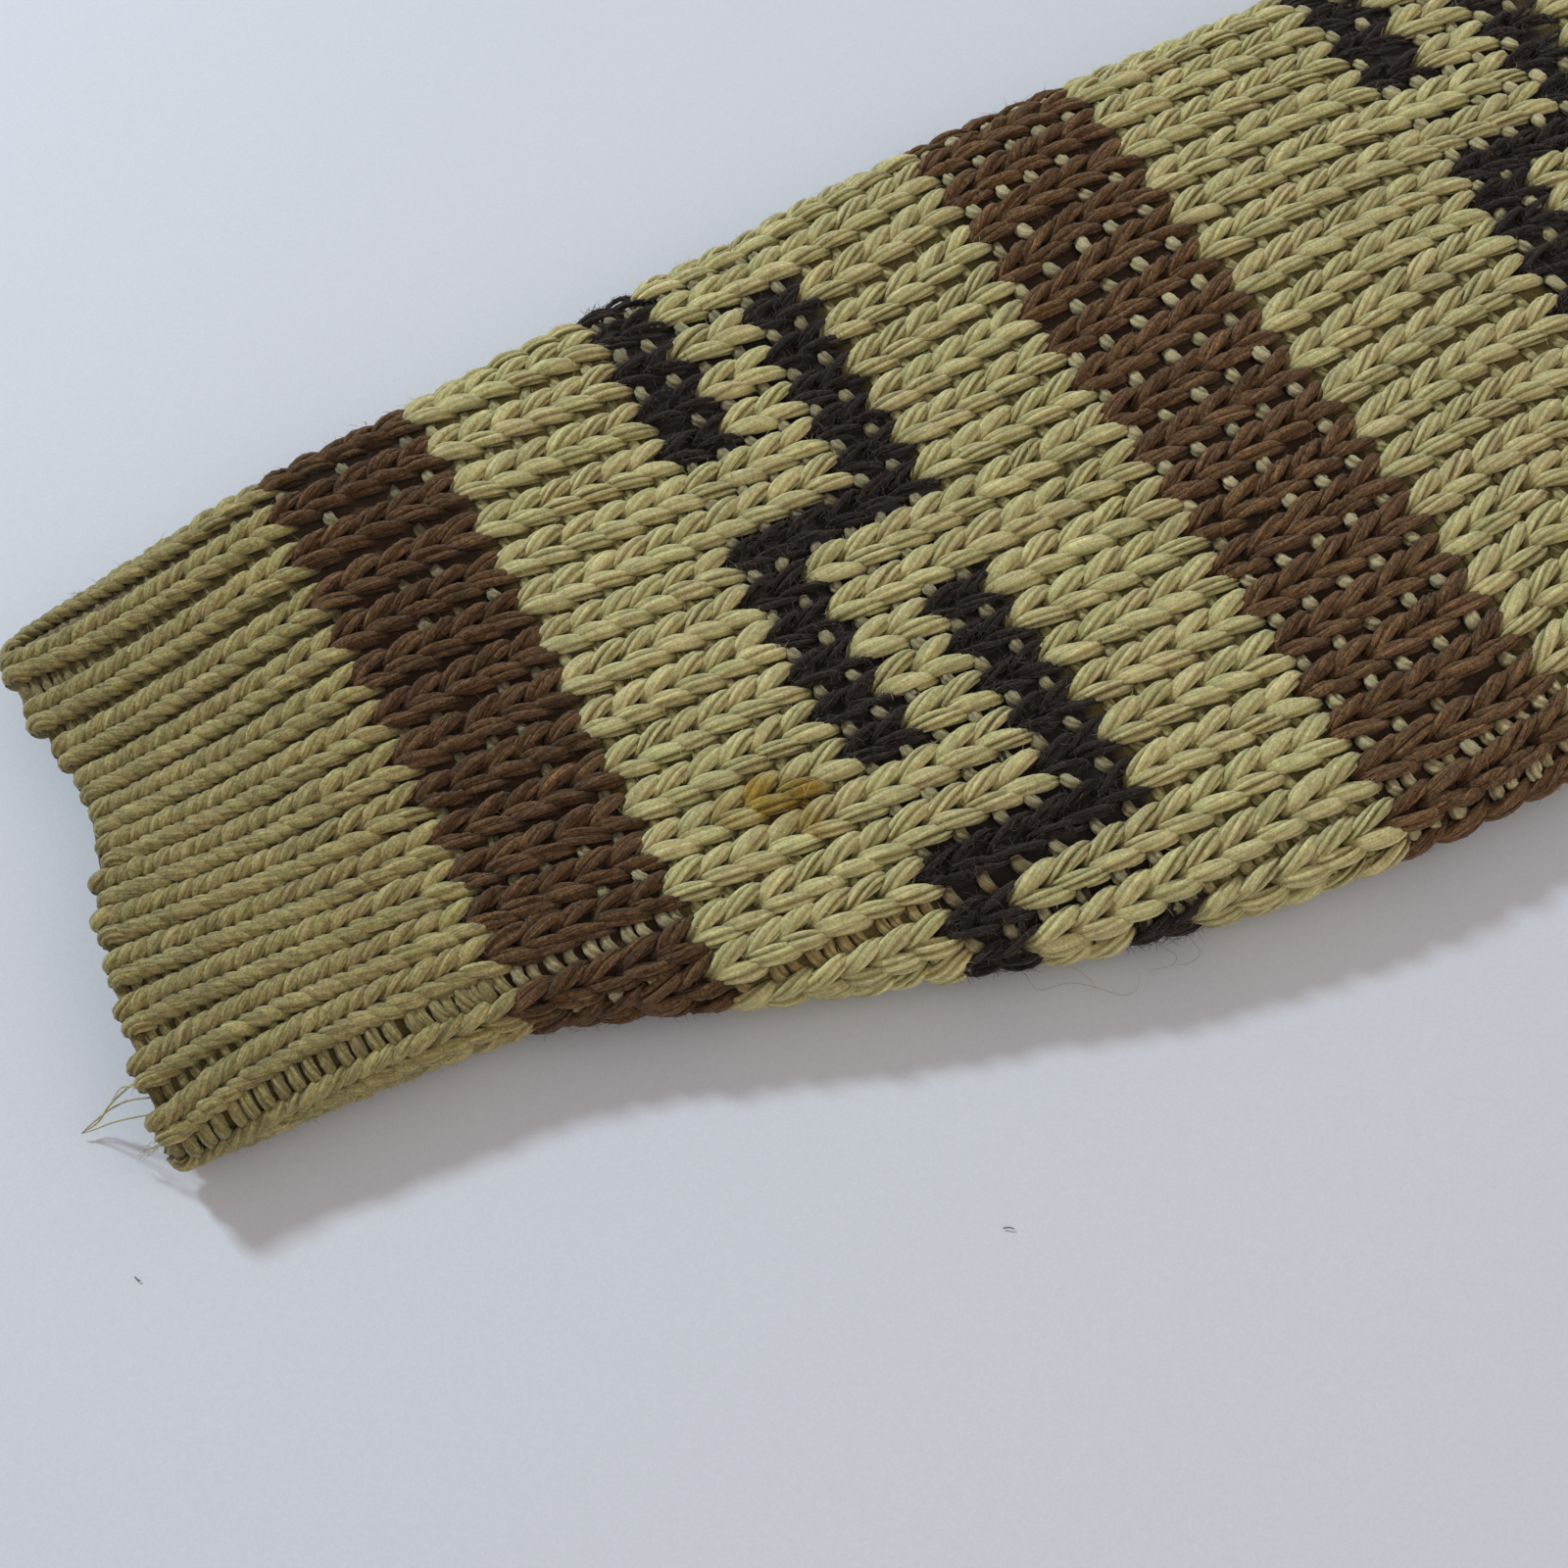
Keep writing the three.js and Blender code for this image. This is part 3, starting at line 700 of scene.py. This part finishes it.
# where black floats stand high enough to be seen in the channels, by figure
FLOATS = {("lower", 4): [(15, 31, 0.1, -1.15), (15, 32, 0.0, -0.95), (15, 33, 0.15, -1.0), (16, 31, 0.3, -1.2), (16, 32, 0.1, -1.0),
                         (16, 33, 0.0, -0.95), (16, 34, -0.2, -1.2), (15, 30, 0.3, -1.3), (17, 32, 0.2, -1.1), (17, 33, 0.1, -1.1),
                         (17, 34, 0.0, -1.3)],
          ("lower", 3): [(9, 31, 0.2, -1.5), (10, 31, 0.1, -1.4), (11, 32, 0.2, -1.5), (8, 30, 0.4, -1.5), (12, 32, 0.0, -1.5)]}
# long hairs worked loose from the cloth: points, radius, yarn they come from
LONG_HAIRS = {
    "ecru_band_lower": ([[(-75.5, -75.5, 5.0), (-73.7, -77.7, 1.0), (-69.4, -79.5, 3.0), (-65.1, -82.0, 1.5), (-62.0, -84.8, 0.8), (-59.4, -85.0, 1.2), (-58.0, -83.3, 3.0)],
                         [(-71.0, -75.0, 8.0), (-69.5, -77.4, 6.0), (-67.0, -78.4, 3.5), (-65.4, -80.1, 1.2), (-64.9, -82.4, 0.5)],
                         [(-54.5, -80.0, 8.0), (-53.5, -81.8, 6.0), (-51.1, -83.5, 3.0), (-52.2, -84.2, 1.5), (-55.8, -83.0, 0.8)],
                         [(-118.9, 13.8, 17.0), (-116.1, 15.1, 18.8), (-114.1, 17.7, 18.8), (-112.8, 21.3, 17.2)]], 0.045, "ecru", 0.55),
    "motif_ground_lower": ([[(-49.5, -81.0, 8.0), (-48.5, -83.0, 6.0), (-47.1, -84.8, 2.5), (-48.9, -85.1, 1.0), (-51.2, -84.3, 0.7)]], 0.045, "ecru", 0.5),
    "brown_band_lower": ([[(-141.5, -15.5, 16.5), (-139.9, -16.4, 18.3), (-137.9, -16.7, 18.4), (-135.9, -15.9, 18.0), (-134.6, -14.8, 17.0)],
                          [(-144.8, -15.9, 16.5), (-142.3, -16.8, 18.3), (-139.1, -15.4, 18.6), (-137.9, -13.3, 17.5)]], 0.05, "brown", 1.3)}
FUZZ = 2.6
pieces = []
for band, r0, r1 in BANDS:
    if band == "cast_on_edge":
        continue
    mine = [(w, r, f) for b, w, r, f in stitches if b == band]
    kind = "brown" if "brown" in band else ("cuff" if band in ("cuff_rib", "cuff_transition") else "ecru")
    plain, figs = [], {}
    for w, r, f in mine:
        fig = figure_at(w, r)
        if fig:
            figs.setdefault(fig, []).append((w, r, f))
        else:
            plain.append((w, r, f))
    key = "knit_" + band
    groups = build_legs([(w, r) for w, r, f in plain if f], kind, True, key)
    groups += build_legs([(w, r) for w, r, f in plain if not f], kind, False)
    bump_f = [(w, r) for w, r, f in mine if f]
    bump_b = [(w, r) for w, r, f in mine if not f]
    bk = {"cuff": "cuff", "brown": "bump"}.get(kind, "bump" if "motif" in band else "ecru")
    bg = build_bumps(bump_f, bk, True, "purl_" + band) + build_bumps(bump_b, bk, False)
    n_leg = 2 * sum(1 for w, r, f in plain if f)
    groups += fibres(key, int(n_leg * FUZZ * (1.8 if kind == "cuff" else 3.2)))
    if band in LONG_HAIRS:
        lines, hair_r, tone, bright = LONG_HAIRS[band]
        groups += [free_strand(q, hair_r, {"ecru": ECRU, "brown": BROWN}[tone] * bright, sides=3) for q in lines]
    if kind in ("cuff", "ecru"):
        ob = make_piece("knit_" + band, groups + bg, MAT[kind], [band])
        pieces.append(ob)
    else:
        ob = make_piece("knit_" + band, groups, MAT[kind], [band])
        pieces.append(ob)
        ob = make_piece("purl_" + band, bg, MAT["ecru"])
        pieces.append(ob)
    for (level, i), its in sorted(figs.items()):
        g = build_legs([(w, r) for w, r, f in its if f], "black", True, f"fig_{level}_{i}")
        # painted highlight: the black yarn's fibres are up to about four times brighter than the yarn
        g += fibres(f"fig_{level}_{i}", int(2 * sum(1 for q in its if q[2]) * FUZZ * 16), length=(0.6, 2.8), width=0.044, tone=(0.9, 4.2))
        if (level, i) in FLOATS:
            g += build_floats(FLOATS[(level, i)])
        g += build_legs([(w, r) for w, r, f in its if not f], "black", False)
        ob = make_piece(f"knit_black_figure_{level}_{i}", g, MAT["black"], [f"black_figure_{level}_{i}"])
        pieces.append(ob)


# ------------------------------------------------------------------ lining: the purl side and the floats behind the ribs, darkened as painted shade of the gaps between stitches
def tube_piece(name, X0, X1, h_out, h_in, colour_fn, material, nx, nc, replaces=()):
    """A thin closed tube of cloth, following the sleeve's section."""
    rr = np.linspace(X0, X1, nx)
    cf = np.linspace(-1, 1, nc, endpoint=False)
    layers = []
    for h in (h_out, h_in):
        Rg, Cg = np.meshgrid(rr, cf, indexing="ij")
        X = np.interp(Rg, ROW_R, ROW_S) - 93.0
        wv = 8.0 + Cg * half_turn(X) / 9.0
        kk = np.clip(1 - Rg / 15.0, 0, 1.2)
        X = X + np.interp(wv, EDGE_W, EDGE_D) * kk * np.clip(kk, 0, 1)
        P, _ = surface(X, Cg * half_turn(X), np.full_like(X, h))
        layers.append(P)
    V = np.concatenate([layers[0].reshape(-1, 3), layers[1].reshape(-1, 3)]) * MM
    n = nx * nc
    F = []
    for i in range(nx - 1):
        for j in range(nc):
            k = (j + 1) % nc
            F.append((i * nc + j, i * nc + k, (i + 1) * nc + k, (i + 1) * nc + j))
            F.append((n + i * nc + j, n + (i + 1) * nc + j, n + (i + 1) * nc + k, n + i * nc + k))
    for i, fl in ((0, False), (nx - 1, True)):
        for j in range(nc):
            k = (j + 1) % nc
            q = (i * nc + j, n + i * nc + j, n + i * nc + k, i * nc + k)
            F.append(q[::-1] if fl else q)
    me = bpy.data.meshes.new(name)
    me.from_pydata(V.tolist(), [], F)
    ca = me.color_attributes.new(name="tint", type="FLOAT_COLOR", domain="POINT")
    Rg, Cg = np.meshgrid(rr, cf, indexing="ij")
    c = colour_fn(Rg.ravel(), Cg.ravel())
    c = np.concatenate([c, c])
    ca.data.foreach_set("color", np.concatenate([c, np.ones((len(c), 1))], 1).astype(np.float32).ravel())
    at = me.attributes.new(name="fibre", type="FLOAT_VECTOR", domain="POINT")
    at.data.foreach_set("vector", (V * 1000 * 0.3).astype(np.float32).ravel())
    me.polygons.foreach_set("use_smooth", np.ones(len(F), bool))
    me.materials.append(material)
    me.update()
    ob = bpy.data.objects.new(name, me)
    bpy.context.scene.collection.objects.link(ob)
    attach(ob, "root")
    if replaces:
        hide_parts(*replaces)
    return ob


def lining_shade_colour(R, C):
    # painted shade: each yarn's colour darkened to about a third for the shade in the gaps; in the motif rows these are
    # the real black floats, darkened as well
    c = np.repeat((ECRU * np.array([0.30, 0.26, 0.17]))[None], len(R), 0).copy()
    c[R < 18] = CUFF * np.array([0.36, 0.33, 0.24])
    br = ((R >= 18) & (R < 23)) | ((R >= 40) & (R < 45)) | ((R >= 63) & (R < 68))
    c[br] = BROWN * 0.28
    mo = ((R >= 29) & (R < 35)) | ((R >= 52) & (R < 58))
    c[mo] = BLACK * 0.55
    return c


lining = tube_piece("inner_fabric", 0.7, 70.7, -2.2, -4.0, lining_shade_colour, MAT["ecru"], 150, 150)

# ------------------------------------------------------------------ cast-on and bind-off edges, seam (first versions)
def edge_nubs(r_edge, d, kind):
    """The last loops, turning over the edge to the inside. d = -1 at the cuff, +1 at the armhole end."""
    ws = [w for w, c, L in all_ribs(max(min(r_edge, 69), 0))]
    W = np.repeat(np.array(ws, float), 2); n = len(W)
    S = np.tile([-1.0, 1.0], len(ws)); z = np.zeros(n)
    R = np.full(n, float(r_edge))
    u = 1.0 if d < 0 else 0.42      # the rows are longer at the armhole end
    j = lambda s: rng.normal(0, s, n)
    A = np.stack([-0.75 + z, -0.25 + z, 0.22 + z, 0.66 + z, 0.80 + z, 0.45 + z, -0.4 + z], 1) * d * u + (j(0.05) * u)[:, None]
    Bv = (np.stack([0.37 + z, 0.31 + z, 0.24 + z, 0.21 + z, 0.21 + z, 0.21 + z, 0.21 + z], 1) + j(0.012)[:, None]) * S[:, None]
    Hv = np.stack([-1.7 + z, -0.85 + z, -0.5 + z, -0.95 + z, -2.3 + z, -3.6 + z, -4.0 + z], 1) + j(0.08)[:, None]
    rad = (1.32 * (1 + j(0.05)))[:, None] * np.array([0.7, 0.95, 1.05, 1.08, 1.05, 1.0, 0.8])[None]
    base = CUFF if kind == "cuff" else ECRU
    col = base[None] * (1 + rng.normal(0, 0.04, n))[:, None]
    g = [strands(on_rib(W, R), A, Bv, Hv, rad, 14, 21, 7, np.full(n, 0.17), np.full(n, 0.3), rng.uniform(0, 6.28, n),
                 np.full(n, 0.95), col, "edge" + str(d), deepen=0.1)]
    W2 = np.array(ws, float); n = len(W2); z = np.zeros(n); R2 = np.full(n, float(r_edge))
    j = lambda s: rng.normal(0, s, n)
    A = np.stack([0.55 + z, 0.4 + z, 0.32 + z, 0.4 + z, 0.55 + z], 1) * d * u + (j(0.06) * u)[:, None]
    Bv = np.stack([-1.5 + z, -0.8 + z, 0 + z, 0.8 + z, 1.5 + z], 1)
    Hv = np.stack([-2.4 + z, -2.4 + z, -2.4 + z, -2.4 + z, -2.4 + z], 1) + j(0.1)[:, None]
    rad = (1.1 * (1 + j(0.05)))[:, None] * np.array([0.85, 1, 1.05, 1, 0.85])[None]
    # painted shade: the bars between the edge nubs are darkened and warmed, as the gaps there lie in shadow
    col = base[None] * np.array([0.62, 0.58, 0.5]) * (1 + rng.normal(0, 0.04, n))[:, None]
    g += [strands(between_ribs(W2, R2), A, Bv, Hv, rad, 8, 15, 5, np.full(n, 0.17), np.full(n, 0.3), rng.uniform(0, 6.28, n),
                  np.full(n, 0.95), col, None, deepen=0.1)]
    g += [strands(between_ribs(W2, R2), A, Bv, Hv - 1.5, rad, 8, 9, 3, np.full(n, 0.17), np.full(n, 0.3), rng.uniform(0, 6.28, n),
                  np.full(n, 0.95), col, None, deepen=0.1)]
    g += fibres("edge" + str(d), int(len(W) * 1.5))
    return g


def inner_legs(rows, kind):
    """The back of the ribs, seen through the openings: the same stitches, on the inside of the wall."""
    its = [(w, r) for r in rows for w, c, L in all_ribs(r)]
    W = np.repeat(np.array([i[0] for i in its], float), 2) + 0.5; R = np.repeat(np.array([i[1] for i in its], float), 2)
    S = np.tile([-1.0, 1.0], len(its)); n = len(W); z = np.zeros(n)
    tight = np.clip((6.0 - row_step(R + 0.5, W)) / 3.2, 0, 1)
    A = np.stack([-0.4 + z, 0.1 + z, 0.5 + z, 0.9 + z, 1.4 + z], 1)
    Bv = np.stack([0.07 + z, 0.11 + z, 0.19 + z, 0.27 + z, 0.32 + z], 1) * S[:, None]
    Hv = -4.4 - np.stack([-1.6 + z, -0.6 + z, -0.2 + z, -0.6 + z, -1.6 + z], 1)
    rad = (1.05 * tight + 1.35 * (1 - tight))[:, None] * np.array([0.6, 0.95, 1.05, 0.95, 0.6])[None]
    base = (CUFF if kind == "cuff" else ECRU) * 0.9
    col = base[None] * (1 + rng.normal(0, 0.05, n))[:, None]
    return [strands(on_rib(W, R), A, Bv, Hv, rad, 7, 9, 3, np.full(n, 0.18), np.full(n, 0.2), rng.uniform(0, 6.28, n), np.full(n, 0.9), col, None, deepen=0.0)]


def yarn_ends():
    """Frayed ends hanging from the cast-on edge, and a few long hairs worked loose from the edge."""
    tone = ECRU * 0.8
    g = [free_strand(q, r, tone * k) for q, r, k in (
        ([(-206.5, -30.5, 13.0), (-209.6, -29.6, 12.0), (-212.1, -28.7, 9.5), (-215.6, -28.4, 6.0), (-218.6, -28.6, 2.5), (-221.6, -28.4, 1.0)], 0.20, 1.0),
        ([(-207.5, -33.5, 12.0), (-210.5, -31.8, 11.0), (-212.9, -29.9, 8.0), (-215.8, -28.6, 5.0), (-218.8, -28.0, 2.2), (-221.6, -28.5, 1.2)], 0.17, 0.9),
        ([(-208.6, -35.2, 10.5), (-211.6, -33.7, 9.0), (-214.0, -32.2, 7.0), (-216.6, -30.6, 4.5), (-219.3, -29.3, 2.0), (-221.8, -28.4, 0.8)], 0.15, 0.95),
        ([(-207.6, -31.6, 13.0), (-210.1, -30.1, 12.0), (-212.4, -28.6, 10.5), (-214.4, -28.2, 7.5), (-216.2, -28.0, 4.5)], 0.12, 1.1))]
    for k in range(9):       # a small tuft
        d = rng.normal(0, 0.45, (4, 3)) * np.array([[0.5], [0.8], [1.0], [1.4]])
        q = np.array([(-209.4, -39.6, 8.0), (-211.4, -38.6, 6.6), (-213.0, -37.8, 4.6), (-214.6, -37.1, 2.6)]) + d
        g.append(free_strand(q, 0.055, tone * rng.uniform(0.8, 1.2), sides=3))
    return g


pieces.append(make_piece("knit_cast_on_edge", edge_nubs(0, -1, "cuff") + inner_legs(range(0, 6), "cuff") + yarn_ends(), MAT["cuff"], ["cast_on_edge"]))
pieces.append(make_piece("knit_bind_off_edge", edge_nubs(71, 1, "ecru") + inner_legs(range(66, 71), "ecru"), MAT["ecru"], ["bind_off_edge"]))

# the seam: a line of overcast stitches along the middle of the underside
def seam():
    rs = np.arange(0.3, 70.8, 0.55)
    n = len(rs); z = np.zeros(n)
    k = np.clip(1 - rs / 15.0, 0, 1.2)
    X = np.interp(rs, ROW_R, ROW_S) - 93.0 + 5.4 * k * np.clip(k, 0, 1)
    L = half_turn(X)
    t = np.linspace(0, 1, 7)
    ctrl_c = np.stack([-1.6 + z, -0.8 + z, 0 + z, 0.8 + z, 1.6 + z], 1)
    ctrl_x = np.stack([-0.8 + z, -0.4 + z, 0 + z, 0.4 + z, 0.8 + z], 1)
    ctrl_h = np.stack([-2.6 + z, -1.5 + z, -1.1 + z, -1.5 + z, -2.6 + z], 1)
    cc = catmull(ctrl_c, t) + L[:, None]; xx = catmull(ctrl_x, t) + X[:, None]; hh = catmull(ctrl_h, t)
    P, N = surface(xx, cc, hh)
    T = np.gradient(P, axis=1); T /= np.linalg.norm(T, axis=-1, keepdims=True) + 1e-9
    Bn = np.cross(T, N); Bn /= np.linalg.norm(Bn, axis=-1, keepdims=True) + 1e-9
    Nn = np.cross(Bn, T)
    ang = np.arange(9) * 2 * np.pi / 9
    lobe = np.abs(np.sin(1.5 * ang)) ** 0.75
    rr = 0.85 * (1 - 0.2 * (1 - lobe))
    V = P[:, :, None] + (np.cos(ang) * rr)[None, None, :, None] * Bn[:, :, None] + (np.sin(ang) * rr)[None, None, :, None] * Nn[:, :, None]
    col = np.broadcast_to(CUFF * 0.8, V.shape).copy()
    V[..., 2] = np.maximum(V[..., 2], 0.0)
    yc = np.stack([np.broadcast_to(np.cos(ang), V.shape[:3]), np.broadcast_to(np.sin(ang), V.shape[:3]), np.zeros(V.shape[:3])], -1)
    return [(V, col, yc)]


pieces.append(make_piece("seam_yarn", seam(), MAT["cuff"], ["underarm_seam"]))

# ------------------------------------------------------------------ camera, light, floor
cam_data = bpy.data.cameras.new("camera")
cam = bpy.data.objects.new("camera", cam_data)
bpy.context.scene.collection.objects.link(cam)
cam_data.lens = 50; cam_data.sensor_width = 36; cam_data.sensor_fit = "HORIZONTAL"
cam_data.clip_start = 0.01
loc = Vector((-174.942, -181.159, 333.754)) * MM
fw = Vector((0.21678, 0.41643, -0.88295)).normalized(); up = Vector((0.4077, 0.78318, 0.46947)).normalized()
right = fw.cross(up).normalized(); up = right.cross(fw).normalized()
cam.matrix_world = Matrix(((right.x, up.x, -fw.x, loc.x), (right.y, up.y, -fw.y, loc.y), (right.z, up.z, -fw.z, loc.z), (0, 0, 0, 1)))
bpy.context.scene.camera = cam


def to_part(gx, gy, gz):
    """From the camera-aligned ground frame (x right, y away), in mm, to the part's frame, in metres."""
    a = math.radians(27.5)
    return Vector(((gx * math.cos(a) + gy * math.sin(a) - 93) * MM, (-gx * math.sin(a) + gy * math.cos(a) - 23.75) * MM, gz * MM))


def area_light(name, at, target, size, power, colour=(1, 1, 1)):
    d = bpy.data.lights.new(name, "AREA"); d.shape = "SQUARE"; d.size = size; d.energy = power; d.color = colour
    o = bpy.data.objects.new(name, d); bpy.context.scene.collection.objects.link(o)
    o.location = at
    o.rotation_euler = (target - at).to_track_quat("-Z", "Y").to_euler()
    return o


bpy.context.scene.view_settings.view_transform = "Standard"
aim = to_part(0, 0, 0)
area_light("key", to_part(-855, 760, 900), to_part(300, 100, 0), 0.17, 14.2, (0.77, 0.89, 1.0))
area_light("fill", to_part(700, -500, 900), aim, 1.4, 5.1, (0.96, 0.84, 0.775))
world = bpy.data.worlds.new("world"); bpy.context.scene.world = world; world.use_nodes = True
world.node_tree.nodes["Background"].inputs[0].default_value = (0.837, 0.761, 0.775, 1)
world.node_tree.nodes["Background"].inputs[1].default_value = 0.475


def floor():
    me = bpy.data.meshes.new("floor")
    s = 1.6
    me.from_pydata([(-s, -s, -0.0002), (s, -s, -0.0002), (s, s, -0.0002), (-s, s, -0.0002)], [], [(0, 1, 2, 3)])
    o = bpy.data.objects.new("floor", me); bpy.context.scene.collection.objects.link(o)
    m = bpy.data.materials.new("floor_paper"); m.use_nodes = True
    b = m.node_tree.nodes["Principled BSDF"]
    b.inputs["Roughness"].default_value = 0.7
    nt = m.node_tree
    tc = nt.nodes.new("ShaderNodeTexCoord"); no = nt.nodes.new("ShaderNodeTexNoise")
    no.inputs["Scale"].default_value = 2400.0; no.inputs["Detail"].default_value = 2.0
    nt.links.new(tc.outputs["Object"], no.inputs["Vector"])
    mr = nt.nodes.new("ShaderNodeMapRange")
    mr.inputs["From Min"].default_value = 0.3; mr.inputs["From Max"].default_value = 0.7
    mr.inputs["To Min"].default_value = 0.965; mr.inputs["To Max"].default_value = 1.03
    nt.links.new(no.outputs["Fac"], mr.inputs["Value"])
    sc = nt.nodes.new("ShaderNodeVectorMath"); sc.operation = "SCALE"
    sc.inputs[0].default_value = tuple(lin(214, 218, 226) * np.array([0.955, 0.965, 0.935]))
    nt.links.new(mr.outputs[0], sc.inputs["Scale"]); nt.links.new(sc.outputs[0], b.inputs["Base Color"])
    me.materials.append(m)
    # two specks of lint on the paper
    lint = bpy.data.materials.new("lint"); lint.use_nodes = True
    lint.node_tree.nodes["Principled BSDF"].inputs["Base Color"].default_value = (*lin(120, 112, 104), 1)
    for k, q in enumerate(([(-222.1, -54.1, 0.1), (-221.9, -54.7, 0.3), (-221.5, -55.1, 0.1)], [(-98.9, -109.5, 0.1), (-98.1, -109.9, 0.4), (-97.4, -110.5, 0.1)])):
        V, _, _ = free_strand(q, 0.13, lin(120, 112, 104), taper=0.7)
        _, r, sd, _ = V.shape
        ms = bpy.data.meshes.new(f"lint_{k}")
        ms.from_pydata((V.reshape(-1, 3) * MM).tolist(), [], grid_faces(r, sd).tolist())
        ms.materials.append(lint)
        lo = bpy.data.objects.new(f"lint_{k}", ms); bpy.context.scene.collection.objects.link(lo)


floor()
